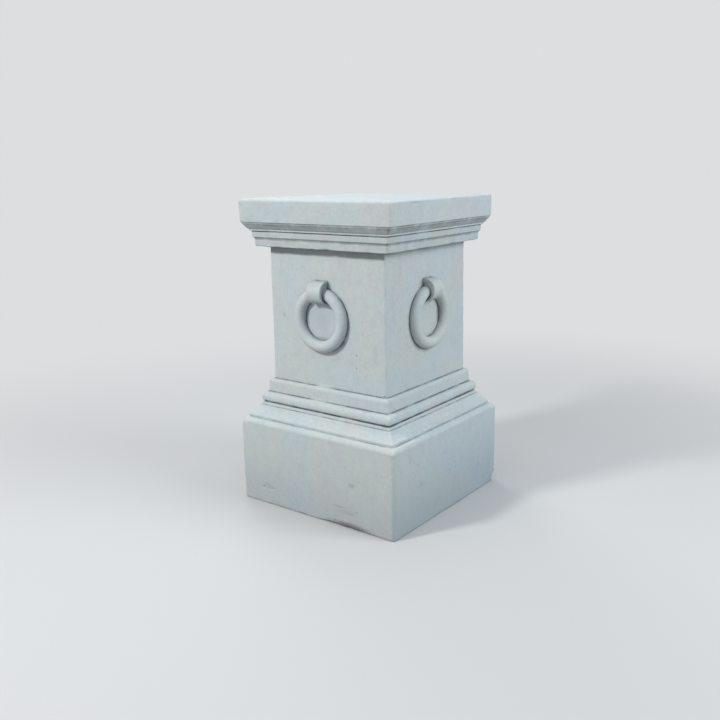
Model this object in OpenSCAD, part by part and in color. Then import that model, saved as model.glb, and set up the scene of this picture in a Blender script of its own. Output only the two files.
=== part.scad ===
// Square garden pedestal, cast in one piece: plinth, base mouldings, dado with a ring
// hung from a collar on each face, bed mouldings and cap slab. Millimetres, +Z up,
// origin at the middle of the underside. The mouldings' projections are all measured
// out from the face of the dado.

/* [Overall] */
// Height from the underside of the plinth to the top of the slab
pedestal_h = 640; // [540:1:780]
// Side of the square dado, the plain shaft between the mouldings
dado_side = 292; // [220:1:360]

/* [Plinth] */
// Height of the plinth
plinth_h = 183; // [120:1:225]
// Projection of the plinth
plinth_out = 54; // [46:0.5:66]
// Radius of the plinth's rounded top edge
plinth_r = 12; // [4:0.5:14]

/* [Base mouldings] */
// Height of the upright foot of the splay
splay_foot_h = 5; // [2:0.5:8]
// How far that foot stands in from the face of the plinth
splay_foot_in = 14.5; // [14:0.5:20]
// Height of the sloping part of the splay
splay_h = 18.5; // [12:0.5:26]
// Projection of the splay's top edge
splay_top_out = 25; // [23:0.5:29]
// Height of the fillet above the splay
fillet_h = 6.5; // [4:0.5:10]
// Projection of the fillet
fillet_out = 22.5; // [19:0.5:27]
// Projection of the torus at its widest
torus_out = 22; // [18:0.5:27]
// Radius of the torus above its widest line
torus_upper_r = 14; // [10:0.5:17]
// Radius of the torus below its widest line
torus_lower_r = 7.5; // [5:0.5:10]
// Height of the fascia that the dado stands on
fascia_h = 29; // [20:0.5:40]
// Projection of the fascia
fascia_out = 10; // [8.5:0.5:13]
// Radius of the fascia's rounded top edge
fascia_r = 8; // [4:0.5:8]

/* [Cap] */
// Height of the slab
slab_h = 43; // [30:1:60]
// Projection of the slab
slab_out = 41; // [37:0.5:52]
// Radius of the slab's upper edges
slab_r = 7; // [3:0.5:10]
// Height of the quirk, the narrow step under the slab
quirk_h = 1.5; // [1:0.5:3]
// Depth of the quirk, in from the face of the slab
quirk_in = 1.5; // [1:0.5:2.5]
// Height of the bed fillet under the quarter-round
bed_fillet_h = 4.5; // [3:0.5:8]
// Projection of the bed fillet
bed_fillet_out = 29.5; // [28:0.5:31]
// Height of the small splay under the bed fillet
bed_splay_h = 3; // [2:0.5:5]
// Height of the upper bed fascia
bed_upper_h = 12; // [8:0.5:18]
// Projection of the upper bed fascia
bed_upper_out = 25.5; // [24:0.5:27]
// Height of the cove between the two bed fascias
bed_cove_h = 7; // [5:0.5:8]
// Height of the lower bed fascia
bed_lower_h = 14; // [8:0.5:20]
// Projection of the lower bed fascia
bed_lower_out = 20.5; // [16:0.5:22]

/* [Ring ornament] */
// Radius of the ring, to the middle of its tube
ring_r = 54; // [40:0.5:65]
// Radius of the ring's tube
ring_tube_r = 12; // [8:0.5:15]
// How far the middle of the tube stands in front of the dado
ring_stand = 5; // [0:0.5:7]
// Radius of the collar that the ring hangs from
collar_r = 24; // [18:0.5:30]
// Width of the collar along the face
collar_w = 29; // [20:0.5:50]
// How far the ornament on the front face is cast off centre
front_ring_shift = -8; // [-12:0.5:12]

/* [Hidden] */
$fn = 96;

cast_stone = [0.76, 0.79, 0.80];

// Half-widths of the members
dado_half = dado_side / 2;
plinth_half = dado_half + plinth_out;
splay_foot_half = plinth_half - splay_foot_in;
splay_top_half = dado_half + splay_top_out;
fillet_half = dado_half + fillet_out;
torus_half = dado_half + torus_out;
fascia_half = dado_half + fascia_out;
bed_lower_half = dado_half + bed_lower_out;
bed_upper_half = dado_half + bed_upper_out;
bed_fillet_half = dado_half + bed_fillet_out;
slab_half = dado_half + slab_out;

// Levels of the base, from the ground up
splay_z = plinth_h + splay_foot_h;
fillet_z = splay_z + splay_h;
torus_z = fillet_z + fillet_h;
torus_mid_z = torus_z + torus_lower_r;
fascia_z = torus_mid_z + torus_upper_r;
dado_z = fascia_z + fascia_h;

// Levels of the cap, from the top down
ovolo_r = slab_half - quirk_in - bed_fillet_half;
slab_z = pedestal_h - slab_h;
quirk_z = slab_z - quirk_h;
bed_fillet_z = quirk_z - ovolo_r - bed_fillet_h;
bed_splay_z = bed_fillet_z - bed_splay_h;
bed_upper_z = bed_splay_z - bed_upper_h;
bed_cove_z = bed_upper_z - bed_cove_h;
cap_z = bed_cove_z - bed_lower_h;

// The cove leaves the lower fascia upright and meets the upper fascia's lower edge
bed_cove_in = bed_upper_half - bed_lower_half;
bed_cove_r = (bed_cove_in ^ 2 + bed_cove_h ^ 2) / (2 * bed_cove_in);

ring_z = (dado_z + cap_z) / 2;
// One entry for each face of the dado, anticlockwise from the front
ring_shifts = [front_ring_shift, 0, 0, 0];

// Sections: x across the pedestal, y up, the same on both sides of the middle

module bar(half, low, high) {
    translate([-half, low]) square([2 * half, high - low]);
}

module both_ends(half) {
    for (side = [-1, 1]) translate([side * half, 0]) children();
}

// A bar whose upper edges are rounded
module eased_bar(half, low, high, r) {
    bar(half, low, high - r);
    bar(half - r, low, high);
    both_ends(half - r) translate([0, high - r]) circle(r);
}

module splay(low_half, low, top_half, high) {
    polygon([[-low_half, low], [low_half, low], [top_half, high], [-top_half, high]]);
}

// Quarter-rounds that swell from the level low: up to the level high, or down to it
module quarter_rounds(half, low, high) {
    r = abs(high - low);
    bar(half - r, min(low, high), max(low, high));
    both_ends(half - r) intersection() {
        translate([0, low]) circle(r);
        bar(r, min(low, high), max(low, high));
    }
}

module base_section() {
    eased_bar(plinth_half, 0, plinth_h, plinth_r);
    bar(splay_foot_half, plinth_h, splay_z);
    splay(splay_foot_half, splay_z, splay_top_half, fillet_z);
    bar(fillet_half, fillet_z, torus_z);
    quarter_rounds(torus_half, torus_mid_z, torus_z);
    quarter_rounds(torus_half, torus_mid_z, fascia_z);
    eased_bar(fascia_half, fascia_z, dado_z, fascia_r);
}

module cap_section() {
    bar(bed_lower_half, cap_z, bed_cove_z);
    difference() {
        bar(bed_upper_half, bed_cove_z, bed_upper_z);
        both_ends(bed_lower_half + bed_cove_r) translate([0, bed_cove_z]) circle(bed_cove_r);
    }
    bar(bed_upper_half, bed_upper_z, bed_splay_z);
    splay(bed_upper_half, bed_splay_z, bed_fillet_half, bed_fillet_z);
    bar(bed_fillet_half, bed_fillet_z, quirk_z - ovolo_r);
    quarter_rounds(slab_half - quirk_in, quirk_z, quirk_z - ovolo_r);
    bar(slab_half - quirk_in, quirk_z, slab_z);
    eased_bar(slab_half, slab_z, pedestal_h, slab_r);
}

// The section run along all four sides, with its corners mitred
module mitred(reach) {
    intersection() {
        rotate([90, 0, 0]) linear_extrude(2 * reach, center = true) children();
        rotate([90, 0, 90]) linear_extrude(2 * reach, center = true) children();
    }
}

// On the front face, the one that looks along -Y
module ring_ornament() {
    translate([0, -dado_half - ring_stand, ring_z]) {
        rotate([90, 0, 0]) rotate_extrude() translate([ring_r, 0]) circle(ring_tube_r);
        translate([0, 0, ring_r]) rotate([0, 90, 0])
            cylinder(h = collar_w, r = collar_r, center = true);
    }
}

module pedestal() {
    color(cast_stone) {
        mitred(plinth_half) base_section();
        mitred(plinth_half) cap_section();
        mitred(plinth_half) bar(dado_half, dado_z - fascia_h, cap_z + bed_lower_h);
        for (face = [0 : 3])
            rotate([0, 0, 90 * face]) translate([ring_shifts[face], 0, 0]) ring_ornament();
    }
}

pedestal();
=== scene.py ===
"""Looks of a square garden pedestal of cast stone, with a ring ornament on each face of its dado.

One mesh stands for the whole casting: a moulded section run round a square with rounded arrises, four rings
with their collars united with it, and then the unevenness, wear and chips of an old casting. The casting's
sizes are written in millimetres, and its mesh, the lamps and the camera are in metres.
"""
import math

import bmesh
import bpy
import numpy as np
from mathutils import Matrix, Vector, noise


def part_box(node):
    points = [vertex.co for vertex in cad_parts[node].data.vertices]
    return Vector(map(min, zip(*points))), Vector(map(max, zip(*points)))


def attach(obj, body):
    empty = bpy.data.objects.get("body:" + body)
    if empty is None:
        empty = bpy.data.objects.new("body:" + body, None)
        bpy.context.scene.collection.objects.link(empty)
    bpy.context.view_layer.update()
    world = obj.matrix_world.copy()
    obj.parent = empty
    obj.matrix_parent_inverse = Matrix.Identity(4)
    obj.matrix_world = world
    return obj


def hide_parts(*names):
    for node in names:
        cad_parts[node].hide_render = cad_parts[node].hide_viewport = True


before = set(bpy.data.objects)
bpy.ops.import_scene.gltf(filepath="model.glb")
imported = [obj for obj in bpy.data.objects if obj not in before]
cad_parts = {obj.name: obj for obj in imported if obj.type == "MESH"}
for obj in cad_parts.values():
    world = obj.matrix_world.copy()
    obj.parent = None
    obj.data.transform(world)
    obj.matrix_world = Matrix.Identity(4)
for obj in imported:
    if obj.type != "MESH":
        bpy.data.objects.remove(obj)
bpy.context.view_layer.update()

NODE = "pedestal"
high_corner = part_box(NODE)[1]
MM = 0.001

# ------------------------------------------------------------------ sizes of the casting, in millimetres

TOP = high_corner.z / MM
PLINTH = high_corner.x / MM  # half-widths, out from the middle of the pedestal, from here on
SPLAY_FOOT = PLINTH - 11.5
SPLAY_TOP = 171
FILLET = 168.5
TORUS_ROOT = 162
TORUS = 168
FASCIA = 156
DADO = 146
BED_LOWER = 167.5
BED_UPPER = 171.5
BED_FILLET = 175.5
OVOLO = 185.5
SLAB = 187

PLINTH_Z = 185  # levels, up from the ground, from here on
SPLAY_FOOT_Z = 190
SPLAY_Z = 208.5
FILLET_Z = 215
TORUS_Z = 237
FASCIA_Z = 265.5
CAP_Z = 545.5
BED_COVE_Z = 561.5
BED_UPPER_Z = 565
BED_SPLAY_Z = 575.5
BED_FILLET_Z = 578
OVOLO_Z = 582
SLAB_Z = 596

RING_R = 54  # to the middle of the ring's tube
RING_TUBE_R = 12
RING_STAND = 5  # the middle of the tube, out from the face of the dado
RING_Z = 404.25
COLLAR_R = 23
COLLAR_RISE = 1.5  # its middle, up from the middle of the tube
COLLAR_WIDTH = 35
RING_SHIFTS = [-9, 0, 0, 0]  # off centre, on each face anticlockwise from the front

SIDE_STEPS = 52  # grid cells along the straight part of one side
ARRIS_STEPS = 6  # grid cells round one vertical arris
ARC_STEP = 1.2  # length of one step round a rounded corner of the section
RIM = 9.0  # flat strip at the start and the end of the section, on the underside and the top
QUARTER_TURNS = [np.array([[1, 0], [0, 1]]), np.array([[0, -1], [1, 0]]),
                 np.array([[-1, 0], [0, -1]]), np.array([[0, 1], [-1, 0]])]

# ------------------------------------------------------------------ the moulded section


def section_corners():
    """The corners of the section from the ground up: half-width, level, radius of the rounding."""
    return [
        (PLINTH - 0.2, 0, 3),
        (PLINTH, PLINTH_Z, 11),
        (SPLAY_FOOT, PLINTH_Z - 0.6, 0.3),
        (SPLAY_FOOT, SPLAY_FOOT_Z, 2),
        (SPLAY_FOOT - 6.5, SPLAY_FOOT_Z + 4, 8),
        (SPLAY_TOP + 3.5, SPLAY_Z - 7, 8),
        (SPLAY_TOP, SPLAY_Z, 1.2),
        (FILLET, SPLAY_Z + 0.2, 0.4),
        (FILLET - 0.8, FILLET_Z, 2.5),
        (TORUS_ROOT, FILLET_Z - 0.3, 0.3),
        (TORUS_ROOT + 0.5, FILLET_Z + 1, 0.3),
        (TORUS, FILLET_Z + 1, 6.5),
        (TORUS, TORUS_Z, 12),
        (FASCIA - 0.7, TORUS_Z, 0.2),
        (FASCIA + 0.5, TORUS_Z + 1.4, 0.4),
        (FASCIA - 0.7, FASCIA_Z, 7.5),
        (DADO, FASCIA_Z - 0.6, 0.3),
        (DADO + 0.4, FASCIA_Z + 1, 0.3),
        (DADO - 0.8, CAP_Z, 0.6),
        (BED_LOWER, CAP_Z, 2),
        (BED_LOWER, BED_COVE_Z, 4),
        (BED_UPPER, BED_UPPER_Z, 0.7),
        (BED_UPPER, BED_SPLAY_Z, 0.4),
        (BED_UPPER - 0.6, BED_SPLAY_Z + 1.2, 0.4),
        (BED_FILLET, BED_FILLET_Z, 0.8),
        (BED_FILLET, OVOLO_Z, 0.2),
        (BED_FILLET + 2, OVOLO_Z, 1.5),
        (OVOLO, SLAB_Z - 3, 2.4),
        (OVOLO, SLAB_Z - 0.8, 0.2),
        (SLAB, SLAB_Z - 0.4, 1),
        (SLAB, TOP, 3.8),
    ]


def rounding(before, corner, after, radius):
    """The points of the arc that rounds one corner."""
    back = (before - corner) / np.linalg.norm(before - corner)
    on = (after - corner) / np.linalg.norm(after - corner)
    half_angle = math.acos(back @ on) / 2
    middle = corner + (back + on) / np.linalg.norm(back + on) * radius / math.sin(half_angle)
    start = corner + back * radius / math.tan(half_angle) - middle
    end = corner + on * radius / math.tan(half_angle) - middle
    turn = math.atan2(start[0] * end[1] - start[1] * end[0], start @ end)
    steps = max(2, round(abs(turn) * radius / ARC_STEP))
    angles = [turn * i / steps for i in range(steps + 1)]
    across = np.array([-start[1], start[0]])
    return [middle + start * math.cos(a) + across * math.sin(a) for a in angles]


def graded(start, end):
    """Points between start and end, without either, that are closest together near both."""
    steps = max(1, round(1.5 * np.linalg.norm(end - start) ** 0.6))
    shares = [(1 - math.cos(math.pi * i / steps)) / 2 for i in range(1, steps)]
    return [start + (end - start) * share for share in shares]


def section_points():
    """The whole section as points, from the underside round to the top of the slab."""
    corners = [np.array(corner[:2], float) for corner in section_corners()]
    radii = [corner[2] for corner in section_corners()]
    rim = np.array([RIM, 0.0])
    path = [corners[0] - rim] + corners + [corners[-1] - rim]
    points = [path[0]]
    for i, radius in enumerate(radii):
        arc = rounding(path[i], path[i + 1], path[i + 2], radius)
        points += graded(points[-1], arc[0]) + arc
    return points + [path[-1]]


# ------------------------------------------------------------------ the casting's mesh


def arris_radius(level):
    """Radius of the vertical arris at a level: largest on the plinth, and the same from the fascia up."""
    return np.interp(level, [PLINTH_Z - 10, SPLAY_FOOT_Z, FASCIA_Z], [6.5, 4.5, 3.5])


def square_loop(half, radius):
    """A square with rounded corners, anticlockwise from the left end of its front side."""
    side = [(x, -half) for x in np.linspace(-1, 1, SIDE_STEPS + 1) * (half - radius)]
    for i in range(1, ARRIS_STEPS):
        angle = math.pi / 2 * (i / ARRIS_STEPS - 1)
        side.append((half - radius + radius * math.cos(angle), radius - half + radius * math.sin(angle)))
    return np.concatenate([np.array(side) @ turn.T for turn in QUARTER_TURNS])


def lid(loop_start, grid_start, upward):
    """Faces that close a loop with a square grid: a strip along each side and a fan at each arris."""
    count = SIDE_STEPS
    around = 4 * (SIDE_STEPS + ARRIS_STEPS)

    def inner(side, step):
        along = min(step, count)
        column, row = [(along, 0), (count, along), (count - along, count), (0, count - along)][side]
        return grid_start + row * (count + 1) + column

    faces = []
    for column in range(count):
        for row in range(count):
            corner = grid_start + row * (count + 1) + column
            faces.append([corner, corner + 1, corner + count + 2, corner + count + 1])
    for side in range(4):
        for step in range(SIDE_STEPS + ARRIS_STEPS):
            here = side * (SIDE_STEPS + ARRIS_STEPS) + step
            following = (here + 1) % around
            face = [loop_start + here, loop_start + following, inner(side, step + 1), inner(side, step)]
            faces.append(face if face[2] != face[3] else face[:3])
    return faces if upward else [face[::-1] for face in faces]


def lid_points(half, level):
    """The square grid inside a loop, row by row from the front."""
    line = np.linspace(-half, half, SIDE_STEPS + 1)
    return [(x, y, level) for y in line for x in line]


def casting_grid():
    """The pedestal without its rings, as points and faces."""
    section = section_points()
    points = []
    for half, level in section:
        loop = square_loop(half, arris_radius(level))
        points += [(x, y, level) for x, y in loop]
    around = len(loop)
    faces = []
    for row in range(len(section) - 1):
        for step in range(around):
            a, b = row * around + step, row * around + (step + 1) % around
            faces.append([a, b, b + around, a + around])
    for row, upward in [(0, False), (len(section) - 1, True)]:
        half, level = section[row]
        faces += lid(row * around, len(points), upward)
        points += lid_points(half - arris_radius(level), level)
    return points, faces


def revolved(profile, steps, closed):
    """A profile of (along, radius) turned about the first axis. A closed one, as a tube's, has no ends."""
    points = [
        (along, radius * math.cos(2 * math.pi * i / steps), radius * math.sin(2 * math.pi * i / steps))
        for along, radius in profile for i in range(steps)
    ]
    rows = len(profile) if closed else len(profile) - 1
    faces = []
    for row in range(rows):
        below, above = row * steps, (row + 1) % len(profile) * steps
        for i in range(steps):
            j = (i + 1) % steps
            faces.append([below + i, above + i, above + j, below + j])
    if not closed:
        faces.append(list(range(steps)))
        faces.append(list(range((len(profile) - 1) * steps, len(profile) * steps))[::-1])
    return points, faces


def on_each_face(points, faces):
    """Four copies, one on each face: a point is (along the face, out from the middle, level)."""
    all_points, all_faces = [], []
    for turn, shift in zip(QUARTER_TURNS, RING_SHIFTS):
        start = len(all_points)
        for along, out, level in points:
            x, y = turn @ np.array([along + shift, -out])
            all_points.append((x, y, level))
        all_faces += [[start + index for index in face] for face in faces]
    return all_points, all_faces


def rings():
    """The four rings, as even tubes."""
    tube_steps, ring_steps = 28, 112
    tube = []
    for i in range(tube_steps):
        angle = 2 * math.pi * i / tube_steps
        tube.append((RING_TUBE_R * math.cos(angle), RING_R + RING_TUBE_R * math.sin(angle)))
    points, faces = revolved(tube, ring_steps, closed=True)
    return on_each_face([(a, DADO + RING_STAND + out, RING_Z + b) for out, a, b in points], faces)


def collars():
    """The four collars: barrels with soft rims and dished ends, round the tube at the top of the ring."""
    half, steps = COLLAR_WIDTH / 2, 56
    half_profile = [
        (half - 3.5, 6), (half - 3, 14), (half - 0.8, COLLAR_R - 4), (half, COLLAR_R - 2.2),
        (half - 0.6, COLLAR_R - 0.5), (half - 2.2, COLLAR_R), (half - 6, COLLAR_R - 0.6), (3, COLLAR_R - 1),
    ]
    profile = [(-along, radius) for along, radius in half_profile] + half_profile[::-1]
    points, faces = revolved(profile, steps, closed=False)
    middle = RING_Z + RING_R + COLLAR_RISE
    return on_each_face([(a, DADO + RING_STAND + b, middle + c) for a, b, c in points], faces)


def new_object(name, points, faces):
    """A mesh object in metres from points in millimetres, with its faces turned outwards."""
    mesh = bpy.data.meshes.new(name)
    mesh.from_pydata([Vector(point) * MM for point in points], [], faces)
    shape = bmesh.new()
    shape.from_mesh(mesh)
    bmesh.ops.recalc_face_normals(shape, faces=shape.faces)
    shape.to_mesh(mesh)
    shape.free()
    obj = bpy.data.objects.new(name, mesh)
    bpy.context.scene.collection.objects.link(obj)
    return obj


def unite(body, part):
    """Makes part one with body, and removes it."""
    union = body.modifiers.new("union", "BOOLEAN")
    union.operation = "UNION"
    union.solver = "MANIFOLD"
    union.object = part
    evaluated = body.evaluated_get(bpy.context.evaluated_depsgraph_get())
    body.data = bpy.data.meshes.new_from_object(evaluated)
    body.modifiers.clear()
    bpy.data.objects.remove(part)


def build_casting():
    casting = new_object("pedestal_cast", *casting_grid())
    shape = bmesh.new()
    shape.from_mesh(casting.data)
    refine(shape)
    shape.to_mesh(casting.data)
    shape.free()
    unite(casting, new_object("rings", *rings()))
    unite(casting, new_object("collars", *collars()))
    return casting


# ------------------------------------------------------------------ unevenness, wear and damage

# Worn arrises: half-width, level, and how deep the wear goes at its worst
WORN_ARRISES = [
    (PLINTH, 0, 0.6), (PLINTH - 5, PLINTH_Z - 5, 0.8), (SPLAY_TOP, SPLAY_Z, 0.5), (FILLET, FILLET_Z, 0.5),
    (FASCIA - 2, FASCIA_Z - 2, 0.7), (BED_LOWER, CAP_Z, 1.5), (BED_UPPER, BED_UPPER_Z, 0.4),
    (BED_FILLET, BED_FILLET_Z, 0.4), (SLAB, SLAB_Z, 0.4), (SLAB - 2, TOP - 2, 0.6),
]
WEAR_REACH = 5
ARRIS_WEAR = 0.9  # depth of the wear on the vertical arrises at its worst
ARRIS_REACH = 8
SHARP_ANGLE = math.radians(42)  # edges that turn more than this look sharp

# Hollows knocked or cast into the surface: middle (x, y, z), size along x, y and z, and depth. A depth
# below zero is a lump of mortar or paint, or a swelling.
HOLLOWS = [
    ((46, -PLINTH, 0), (30, 10, 5), 2),
    ((92, -PLINTH, 0), (12, 10, 4), 1.6),
    ((-28, -PLINTH, 0), (16, 10, 3), 1.5),
    ((PLINTH, PLINTH, 0), (22, 22, 19), 9),
    ((PLINTH, PLINTH, PLINTH_Z), (26, 26, 16), 4),
    ((-PLINTH, -PLINTH, PLINTH_Z), (26, 26, 16), 3),
    ((PLINTH, 30, 0), (10, 30, 3), 2),
    ((-139, -PLINTH, 37), (4.5, 8, 2.2), 1.8),
    ((-112, -PLINTH, 37), (11, 8, 1.6), 0.9),
    ((98, -PLINTH, 92), (4, 8, 4), 1),
    ((56, -PLINTH, 8), (3, 8, 2.6), 1.6),
    ((66, -PLINTH, 40), (20, 8, 1.8), 0.8),
    ((109, -PLINTH, 38), (7, 8, 2), 0.8),
    ((75.5, -DADO, 341), (2.2, 8, 2.2), 1.2),
    ((75, -DADO, 315), (2.6, 8, 2.2), 1.4),
    ((-111, -DADO, 404), (5, 8, 6), 0.5),
    ((20, -BED_LOWER, CAP_Z), (9, 9, 4), 2),
    ((-SLAB, -SLAB, TOP), (190, 190, 60), -2.4),
    ((-10, -FASCIA + 8, FASCIA_Z), (25, 7, 4), -1.8),
    ((-18, -TORUS + 9, TORUS_Z), (25, 8, 4), -1.8),
]
SMALL_HOLLOW = 3  # a hollow with a size below this needs finer cells than the grid's
SPLIT_SHARE = 1.6  # cells are split as far out as this many sizes of the hollow, and CELL more
CELL = 4


def refine(shape):
    """Splits the grid's cells under the small hollows, so that the mesh can carry them."""
    for middle, size, _ in HOLLOWS:
        if min(size) < SMALL_HOLLOW:
            reach = Vector(size) * MM * SPLIT_SHARE + Vector((CELL, CELL, CELL)) * MM
            near = []
            for face in shape.faces:
                offset = face.calc_center_median() - Vector(middle) * MM
                if all(abs(offset[i]) < reach[i] for i in range(3)):
                    near.append(face)
            edges = list({edge for face in near for edge in face.edges})
            bmesh.ops.subdivide_edges(shape, edges=edges, cuts=3, use_grid_fill=True)


def swell(point):
    """Slow unevenness of the whole surface, in millimetres."""
    return 0.7 * noise.noise(point * 5) + 0.35 * noise.noise(point * 24 + Vector((3, 5, 7)))


def wear(point):
    """How much of an arris is worn away at a point near it, in millimetres."""
    x, y, level = point / MM
    half = max(abs(x), abs(y))
    patchy = max(0, 0.25 + noise.noise(point * 42) + 0.6 * noise.noise(point * 120))
    loss = 0
    for arris_half, arris_level, depth in WORN_ARRISES:
        distance = math.hypot(half - arris_half, level - arris_level)
        loss += depth * patchy * math.exp(-(distance / WEAR_REACH) ** 2)
    from_arris = abs(abs(x) - abs(y))
    outside = half > DADO - 4
    return loss + ARRIS_WEAR * patchy * math.exp(-(from_arris / ARRIS_REACH) ** 2) * outside


def hollow_depth(point):
    """Depth of the hollows at a point, in millimetres."""
    depth = 0
    for middle, size, deepest in HOLLOWS:
        offset = [(point[i] / MM - middle[i]) / size[i] for i in range(3)]
        distance = math.hypot(*offset) + 0.25 * noise.noise(point * 90)
        if distance < 1:
            depth += deepest * (1 - distance * distance) ** 1.5
    return depth


def mend(shape):
    """Merges doubled points, and drops the needless points and back-to-back faces that unions can leave."""
    bmesh.ops.remove_doubles(shape, verts=shape.verts, dist=0.01 * MM)
    on_edges = [vertex for vertex in shape.verts if len(vertex.link_edges) == 2]
    bmesh.ops.dissolve_verts(shape, verts=on_edges)
    shape.verts.index_update()
    faces_on = {}
    for face in shape.faces:
        faces_on.setdefault(frozenset(vertex.index for vertex in face.verts), []).append(face)
    flaps = [face for faces in faces_on.values() if len(faces) > 1 for face in faces]
    bmesh.ops.delete(shape, geom=flaps, context="FACES")


def weather(casting):
    """Moves the points of the casting along their normals. The underside stays flat on the ground."""
    shape = bmesh.new()
    shape.from_mesh(casting.data)
    mend(shape)
    shape.normal_update()
    moves = []
    for vertex in shape.verts:
        point = vertex.co
        moves.append(vertex.normal * (swell(point) - wear(point) - hollow_depth(point)) * MM)
    for vertex, move in zip(shape.verts, moves):
        vertex.co += move
        vertex.co.z = max(vertex.co.z, 0)
    shape.normal_update()
    for face in shape.faces:
        face.smooth = True
    for edge in shape.edges:
        edge.smooth = len(edge.link_faces) == 2 and edge.calc_face_angle() < SHARP_ANGLE
    shape.to_mesh(casting.data)
    shape.free()


# ------------------------------------------------------------------ cast stone


class Nodes:
    """Adds nodes to a tree. An input is a value or the socket that feeds it."""

    def __init__(self, tree):
        self.tree = tree

    def add(self, kind, inputs=(), **settings):
        node = self.tree.nodes.new(kind)
        for name, value in settings.items():
            setattr(node, name, value)
        for key, value in dict(inputs).items():
            if isinstance(value, bpy.types.NodeSocket):
                self.tree.links.new(value, node.inputs[key])
            else:
                node.inputs[key].default_value = value
        return node

    def math(self, operation, *values, clamp=False):
        node = self.add("ShaderNodeMath", enumerate(values), operation=operation, use_clamp=clamp)
        return node.outputs[0]

    def openness(self, distance, samples):
        """1 in the open and less in creases and hollows, as far as distance, in metres."""
        kind = "ShaderNodeAmbientOcclusion"
        return self.add(kind, {"Distance": distance}, samples=samples, only_local=True).outputs["AO"]

    def noise(self, place, scale, detail=3, roughness=0.5):
        inputs = {"Vector": place, "Scale": scale, "Detail": detail, "Roughness": roughness}
        return self.add("ShaderNodeTexNoise", inputs).outputs["Fac"]

    def ramp(self, value, low, high, to_low=0, to_high=1):
        """value from low to high, turned into to_low to to_high, smoothly and no further."""
        inputs = {"Value": value, "From Min": low, "From Max": high, "To Min": to_low, "To Max": to_high}
        return self.add("ShaderNodeMapRange", inputs, interpolation_type="SMOOTHSTEP").outputs["Result"]

    def away(self, place, middle, size):
        """How far place is from middle, where size counts as 1. middle and size are in millimetres."""
        offset = self.add("ShaderNodeVectorMath", {0: place, 1: Vector(middle) * MM}, operation="SUBTRACT")
        shares = [1 / (part * MM) for part in size]
        scaled = self.add("ShaderNodeVectorMath", {0: offset.outputs[0], 1: shares}, operation="MULTIPLY")
        return self.add("ShaderNodeVectorMath", {0: scaled.outputs[0]}, operation="LENGTH").outputs["Value"]

    def mix(self, share, first, second):
        """Sockets 0, 6 and 7 of a colour Mix node are its share and its two colours."""
        return self.add("ShaderNodeMix", {0: share, 6: first, 7: second}, data_type="RGBA").outputs[2]

    def tint(self, share, first, second):
        """As mix, but first is multiplied by second instead of covered by it."""
        return self.add("ShaderNodeMix", {0: share, 6: first, 7: second}, data_type="RGBA",
                        blend_type="MULTIPLY").outputs[2]


# Colours of the paint, the dirt and the painted shade, and of the tints that go over the paint
COOL = (0.56, 0.64, 0.67, 1)
GREENISH = (0.59, 0.65, 0.64, 1)
MAUVE = (0.59, 0.605, 0.635, 1)
CHALK = (0.68, 0.73, 0.74, 1)
DARK_DIRT_AND_SHADE = (0.085, 0.08, 0.085, 1)
GREY_WASH_AND_SHADE = (0.70, 0.70, 0.71, 1)
PAINTED_BLUE_SHADE = (0.79, 0.865, 0.93, 1)
DARKEST_COVER = 0.72  # how much of the paint the thickest grime and painted shade hide

# Lines and bands of dirt round the casting, and at OVOLO_Z + 6 a band of painted shade on the ovolo that
# faces down under the slab: level, reach up and down from it, and strength
DIRT_AND_SHADE_LEVELS = [
    (PLINTH_Z, 1.2, 0.5), (SPLAY_Z + 0.6, 1, 0.8), (FILLET_Z + 1, 1.2, 0.5), (TORUS_Z, 1, 0.6),
    (FASCIA_Z, 1, 0.6), (CAP_Z, 2.4, 0.3), (BED_COVE_Z, 22, 0.16), (BED_UPPER_Z - 3.5, 4.5, 0.6),
    # OVOLO_Z + 6 is painted shade on the ovolo under the slab.
    (BED_SPLAY_Z + 1, 1.6, 1), (OVOLO_Z + 6, 9, 0.5), (SLAB_Z - 5.5, 1.1, 0.9), (SLAB_Z - 1.6, 1.5, 0.9),
]

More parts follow.
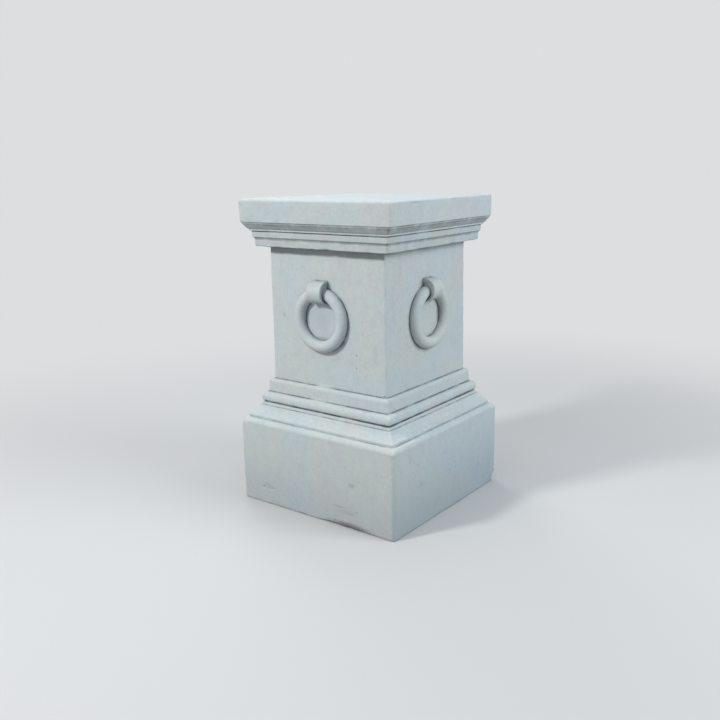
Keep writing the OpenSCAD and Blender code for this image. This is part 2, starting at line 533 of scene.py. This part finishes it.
# Smudges, scratches and pits with dirt in them, and patches of painted shade: dirt and painted shade inside
# the rings, at the front ring's lower right and at the front collar's right end, and painted shade along
# the chipped bottom edge of the plinth's front. Each has its middle (x, y, z), size along x, y and z, and
# strength
SMUDGES_AND_SHADES = [
    ((-123, -PLINTH, 37), (22, 5, 2), 0.4), ((-139, -PLINTH, 37), (5, 5, 3), 0.7),
    ((98, -PLINTH, 92), (13, 5, 8), 0.38), ((56, -PLINTH, 8), (4, 5, 3), 0.7),
    ((66, -PLINTH, 40), (26, 5, 2.2), 0.4), ((109, -PLINTH, 38), (8, 5, 2.5), 0.3),
    # Painted shade along the chipped bottom edge of the front.
    ((90, -PLINTH, 3), (82, 16, 14), 1), ((118, -PLINTH, 1), (16, 9, 5), 0.6),
    ((86, -PLINTH, 32), (34, 5, 9), 0.16), ((-128, -PLINTH, 44), (20, 5, 6), 0.2),
    ((75.5, -DADO, 341), (3, 5, 3), 0.7), ((75, -DADO, 315), (3, 5, 3), 0.6),
    ((-111, -DADO, 404), (6, 5, 8), 0.22), ((RING_SHIFTS[0], -DADO, 404), (44, 4, 44), 0.18),
    # (11, ...) darkens the front collar's right end and (39, ...) the ring's outer edge at its lower right:
    # dirt and painted shade in both.
    ((11, -DADO - 15, 457), (4, 14, 16), 0.35), ((39, -DADO - 2, 363), (17, 6, 13), 0.8),
    ((-29, -DADO - 14, 455), (3, 11, 14), 0.5), ((RING_SHIFTS[0], -DADO - 8, 436), (17, 14, 3), 0.5),
    ((PLINTH, -106, 87), (5, 12, 10), 0.2), ((PLINTH, -20, 128), (5, 30, 5), 0.12),
    ((PLINTH, 123, 61), (5, 6, 10), 0.2), ((SLAB, -105, TOP - 4), (4, 36, 2.5), 0.3),
    ((SLAB, 30, TOP - 4), (4, 22, 2), 0.25), ((DADO, -96, 505), (4, 3, 14), 0.15),
    ((BED_LOWER, -BED_LOWER, 552), (16, 16, 14), 0.22), ((DADO - 4, -DADO, 268), (6, 6, 3), 0.6),
    ((120, -DADO, 350), (10, 5, 30), 0.13), ((DADO, -118, 415), (4, 7, 60), 0.08),
    # Dirt and painted shade inside the front ring, along its left and bottom edges.
    ((-48, -DADO, 402), (8, 5, 38), 0.4), ((-12, -DADO, 365), (26, 5, 8), 0.35),
    # (DADO, 39, 408) is dirt and painted shade inside the right ring, along its back edge.
    ((DADO, 39, 408), (5, 8, 38), 0.6), ((DADO, -44, 356), (4, 12, 14), 0.25),
]

# Places where the creases are filled and clean: middle (x, y, z) and reach
CLEAN_PLACES = [
    ((-10, -DADO, FASCIA_Z), 25),
    ((-18, -FASCIA, TORUS_Z), 25),
    ((PLINTH - 20, -PLINTH + 16, PLINTH_Z), 10),
]


def paint(n, place):
    """The wash of paint, with soft patches, brush marks and grain: its colour, its marks and its grain."""
    colour = n.mix(n.ramp(n.noise(place, 6.5), 0.4, 0.6), COOL, GREENISH)
    colour = n.mix(n.ramp(n.noise(place, 13, 4), 0.46, 0.7, 0, 0.6), colour, MAUVE)
    stretch = {"Vector": place, "Rotation": (0.25, 0.2, 0), "Scale": (1, 1, 0.65)}
    marks = n.noise(n.add("ShaderNodeMapping", stretch).outputs["Vector"], 60, 5, 0.65)
    colour = n.tint(n.ramp(marks, 0.5, 0.75, 0, 0.22), colour, GREY_WASH_AND_SHADE)
    colour = n.mix(n.ramp(marks, 0.5, 0.28, 0, 0.2), colour, CHALK)
    stipple = n.noise(place, 170, 4, 0.7)
    colour = n.tint(n.ramp(stipple, 0.5, 0.68, 0, 0.22), colour, GREY_WASH_AND_SHADE)
    colour = n.mix(n.ramp(stipple, 0.47, 0.32, 0, 0.3), colour, CHALK)
    grain = n.noise(place, 420, 3, 0.6)
    colour = n.tint(n.ramp(grain, 0.52, 0.75, 0, 0.25), colour, GREY_WASH_AND_SHADE)
    return colour, marks, grain


def shade_and_tints(n, colour, across, level, patchy):
    """Tints over whole parts of the casting: painted shade in the hollows, partly grey dirt; a grey tint
    that grows stronger towards the bottom; painted shade in a blue tint on the plinth's right face; and
    painted shade on the slab everywhere but on its right face."""
    # Painted shade in hollows as far as 35 mm in, partly grey dirt, uneven with the patches.
    hollow_shade_and_dirt = n.math("MULTIPLY", n.ramp(n.openness(0.035, 8), 0.95, 0.45), n.ramp(patchy, 0.45, 1, 0.4, 0.8))
    # Greyer towards the bottom, below 170 mm.
    low = n.ramp(level, 0.17, 0.0, 0, 0.4)
    colour = n.tint(n.math("ADD", hollow_shade_and_dirt, low, clamp=True), colour, GREY_WASH_AND_SHADE)
    # Painted shade: the plinth's right face tinted bluer and darker, as in cool light, strongest at the
    # ground and gone at 210 mm.
    plinth_right_shade = n.math("MULTIPLY", n.ramp(across, (PLINTH - 8) * MM, (PLINTH - 2) * MM),
                          n.ramp(level, 0.21, 0, 0, 0.75))
    colour = n.tint(plinth_right_shade, colour, PAINTED_BLUE_SHADE)
    # Painted shade: the slab darker on every face but the right one.
    slab_shade_not_right = n.math("MULTIPLY", n.ramp(across, (SLAB - 2) * MM, (SLAB - 5) * MM),
                            n.ramp(level, SLAB_Z * MM, (SLAB_Z + 2) * MM, 0, 0.13))
    return n.tint(slab_shade_not_right, colour, GREY_WASH_AND_SHADE)


def dirt_and_shade(n, place, across, level, patchy):
    """How dark the surface is made: dirt in the creases, along the mouldings and in the smudges; painted
    shade on the ovolo under the slab, round the rings and along the chipped bottom edge; and a painted
    shadow under the cap.
    """
    share = n.ramp(n.openness(0.0045, 12), 0.74, 0.42)
    for middle, reach, strength in DIRT_AND_SHADE_LEVELS:
        away = n.math("ABSOLUTE", n.math("SUBTRACT", level, middle * MM))
        share = n.math("MAXIMUM", share, n.ramp(away, reach * MM, reach * MM * 0.3, 0, strength))
    share = n.math("MULTIPLY", share, patchy)
    # Painted shadow of the cap on every face but the right one: a dark band that fades out 12 to 18 mm
    # under it.
    under_cap_shadow = n.math("MULTIPLY", n.ramp(level, (CAP_Z - 18) * MM, (CAP_Z - 12) * MM),
                       n.ramp(level, (CAP_Z + 1) * MM, CAP_Z * MM))
    not_on_right = n.ramp(across, (DADO - 1.5) * MM, (DADO - 3) * MM, 0, 0.45)
    share = n.math("MAXIMUM", share, n.math("MULTIPLY", under_cap_shadow, not_on_right))
    for middle, reach in CLEAN_PLACES:
        away = n.away(place, middle, (reach, reach, reach))
        share = n.math("MULTIPLY", share, n.ramp(away, 0.6, 1.1, 0.12, 1))
    ragged = n.noise(place, 330, 4, 0.7)
    for middle, size, strength in SMUDGES_AND_SHADES:
        away = n.math("ADD", n.away(place, middle, size), ragged)
        share = n.math("MAXIMUM", share, n.ramp(away, 1.4, 0.7, 0, strength))
    return n.math("MULTIPLY", share, DARKEST_COVER)


def specks(n, place):
    """1 in small pits, which are scattered and more frequent in some places."""
    cells = n.add("ShaderNodeTexVoronoi", {"Vector": place, "Scale": 70, "Randomness": 1}).outputs
    lot = n.add("ShaderNodeSeparateColor", {"Color": cells["Color"]}).outputs["Red"]
    speck = n.math("MULTIPLY", n.ramp(cells["Distance"], 0.11, 0.05), n.math("LESS_THAN", lot, 0.05))
    return n.math("MULTIPLY", speck, n.ramp(n.noise(place, 9), 0.45, 0.62))


def cast_stone():
    """Limewashed cast stone: the paint, its tints and painted shade, then the dirt with more painted shade,
    the pits and the bumps.
    """
    material = bpy.data.materials.new("cast_stone")
    material.use_nodes = True
    material.node_tree.nodes.clear()
    n = Nodes(material.node_tree)
    place = n.add("ShaderNodeTexCoord").outputs["Object"]
    across, _, level = n.add("ShaderNodeSeparateXYZ", {"Vector": place}).outputs
    patchy = n.ramp(n.noise(place, 30, 4, 0.65), 0.32, 0.58, 0.3, 1)
    colour, marks, grain = paint(n, place)
    colour = shade_and_tints(n, colour, across, level, patchy)
    # Dirt and painted shade darken the paint in one dark colour.
    colour = n.mix(dirt_and_shade(n, place, across, level, patchy), colour, DARK_DIRT_AND_SHADE)
    pits = specks(n, place)
    colour = n.mix(n.math("MULTIPLY", pits, 0.7), colour, DARK_DIRT_AND_SHADE)

    fine = n.math("MULTIPLY", n.noise(place, 150, 5, 0.6), 0.6)
    height = n.math("ADD", fine, n.math("MULTIPLY", grain, 0.25))
    height = n.math("SUBTRACT", n.math("ADD", height, n.math("MULTIPLY", marks, 0.35)), pits)
    bump = n.add("ShaderNodeBump", {"Height": height, "Strength": 0.35, "Distance": 0.0012})
    roughness = n.ramp(n.noise(place, 60, 3), 0.3, 0.7, 0.7, 0.88)
    shader = n.add("ShaderNodeBsdfPrincipled", {
        "Base Color": colour,
        "Roughness": roughness,
        "Normal": bump.outputs["Normal"],
        "Specular IOR Level": 0.3,
    })
    n.add("ShaderNodeOutputMaterial", {"Surface": shader.outputs[0]})
    return material


casting = build_casting()
weather(casting)
casting.data.materials.clear()
casting.data.materials.append(cast_stone())
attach(casting, "root")
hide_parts(NODE)

# ------------------------------------------------------------------ stage

BACKDROP = (0.72, 0.73, 0.74, 1)
FLOOR = (0.60, 0.61, 0.62, 1)
FLOOR_AS_LIT = (0.22, 0.22, 0.22, 1)  # what the floor throws back on the pedestal, which is less
FLOOR_HALF = 12000


def seen_directly(n):
    """1 for rays that show the stage to the camera, straight or in a gloss, and 0 for those that light."""
    path = n.add("ShaderNodeLightPath").outputs
    seen = n.math("MAXIMUM", path["Is Camera Ray"], path["Is Glossy Ray"])
    return n.math("MAXIMUM", seen, path["Is Transmission Ray"])


def build_floor():
    """A pale floor that turns into the backdrop's colour away from the pedestal."""
    corners = [(x * FLOOR_HALF, y * FLOOR_HALF, 0) for x, y in [(-1, -1), (1, -1), (1, 1), (-1, 1)]]
    floor = new_object("floor", corners, [[0, 1, 2, 3]])
    material = bpy.data.materials.new("floor")
    material.use_nodes = True
    material.node_tree.nodes.clear()
    n = Nodes(material.node_tree)
    seen = seen_directly(n)
    colour = n.mix(seen, FLOOR_AS_LIT, FLOOR)
    near = n.add("ShaderNodeBsdfDiffuse", {"Color": colour}).outputs[0]
    far = n.add("ShaderNodeEmission", {"Color": BACKDROP}).outputs[0]
    place = n.add("ShaderNodeTexCoord").outputs["Object"]
    distance = n.add("ShaderNodeVectorMath", {0: place}, operation="LENGTH").outputs["Value"]
    away = n.math("MULTIPLY", seen, n.ramp(distance, 0.5, 2.0))
    surface = n.add("ShaderNodeMixShader", {0: away, 1: near, 2: far}).outputs[0]
    n.add("ShaderNodeOutputMaterial", {"Surface": surface})
    floor.data.materials.append(material)


def build_world():
    """Soft light from all round. The camera sees the backdrop's colour instead."""
    world = bpy.data.worlds.new("studio")
    world.use_nodes = True
    world.node_tree.nodes.clear()
    n = Nodes(world.node_tree)
    seen = seen_directly(n)
    light = n.add("ShaderNodeBackground", {"Color": (0.93, 0.96, 1, 1), "Strength": 0.3}).outputs[0]
    shown = n.add("ShaderNodeBackground", {"Color": BACKDROP, "Strength": 1}).outputs[0]
    surface = n.add("ShaderNodeMixShader", {0: seen, 1: light, 2: shown}).outputs[0]
    n.add("ShaderNodeOutputWorld", {"Surface": surface})
    bpy.context.scene.world = world


def build_lamp(name, place, target, size, watts, colour):
    """A round area lamp, turned to its target."""
    light = bpy.data.lights.new(name, "AREA")
    light.shape = "DISK"
    light.size = size
    light.energy = watts
    light.color = colour
    lamp = bpy.data.objects.new(name, light)
    lamp.location = place
    lamp.rotation_euler = (Vector(target) - Vector(place)).to_track_quat("-Z", "Y").to_euler()
    bpy.context.scene.collection.objects.link(lamp)


def build_camera():
    """The view looks a little down on the front and right sides, from just above the slab's height."""
    yaw, pitch, roll = math.radians(37.54), math.radians(13.4), math.radians(-1.06)
    data = bpy.data.cameras.new("camera")
    data.lens = 40.85
    data.sensor_width = 36
    camera = bpy.data.objects.new("camera", data)
    aim = Matrix.Rotation(yaw, 4, "Z") @ Matrix.Rotation(math.pi / 2 - pitch, 4, "X")
    camera.matrix_world = Matrix.Translation((1.029, -1.376, 0.703)) @ aim @ Matrix.Rotation(roll, 4, "Z")
    bpy.context.scene.collection.objects.link(camera)
    bpy.context.scene.camera = camera


build_floor()
build_world()
build_lamp("key", (-0.95, -2.35, 2.1), (0, 0, 0.4), 0.45, 52, (1, 0.995, 0.98))
build_lamp("front", (0.2, -2.8, 0.6), (0, 0, 0.3), 1.8, 11, (1, 1, 1))
build_lamp("side", (2.6, 0.6, 1.5), (0, 0, 0.35), 1.8, 48, (0.92, 0.965, 1))
build_lamp("overhead", (0, 0, 2.6), (0, 0, 0.4), 1.4, 15, (1, 1, 1))
build_lamp("behind", (-2.4, 1.6, 1.3), (0, 0, 0.35), 1.8, 30, (0.96, 0.98, 1))
build_camera()
bpy.context.scene.view_settings.view_transform = "Standard"
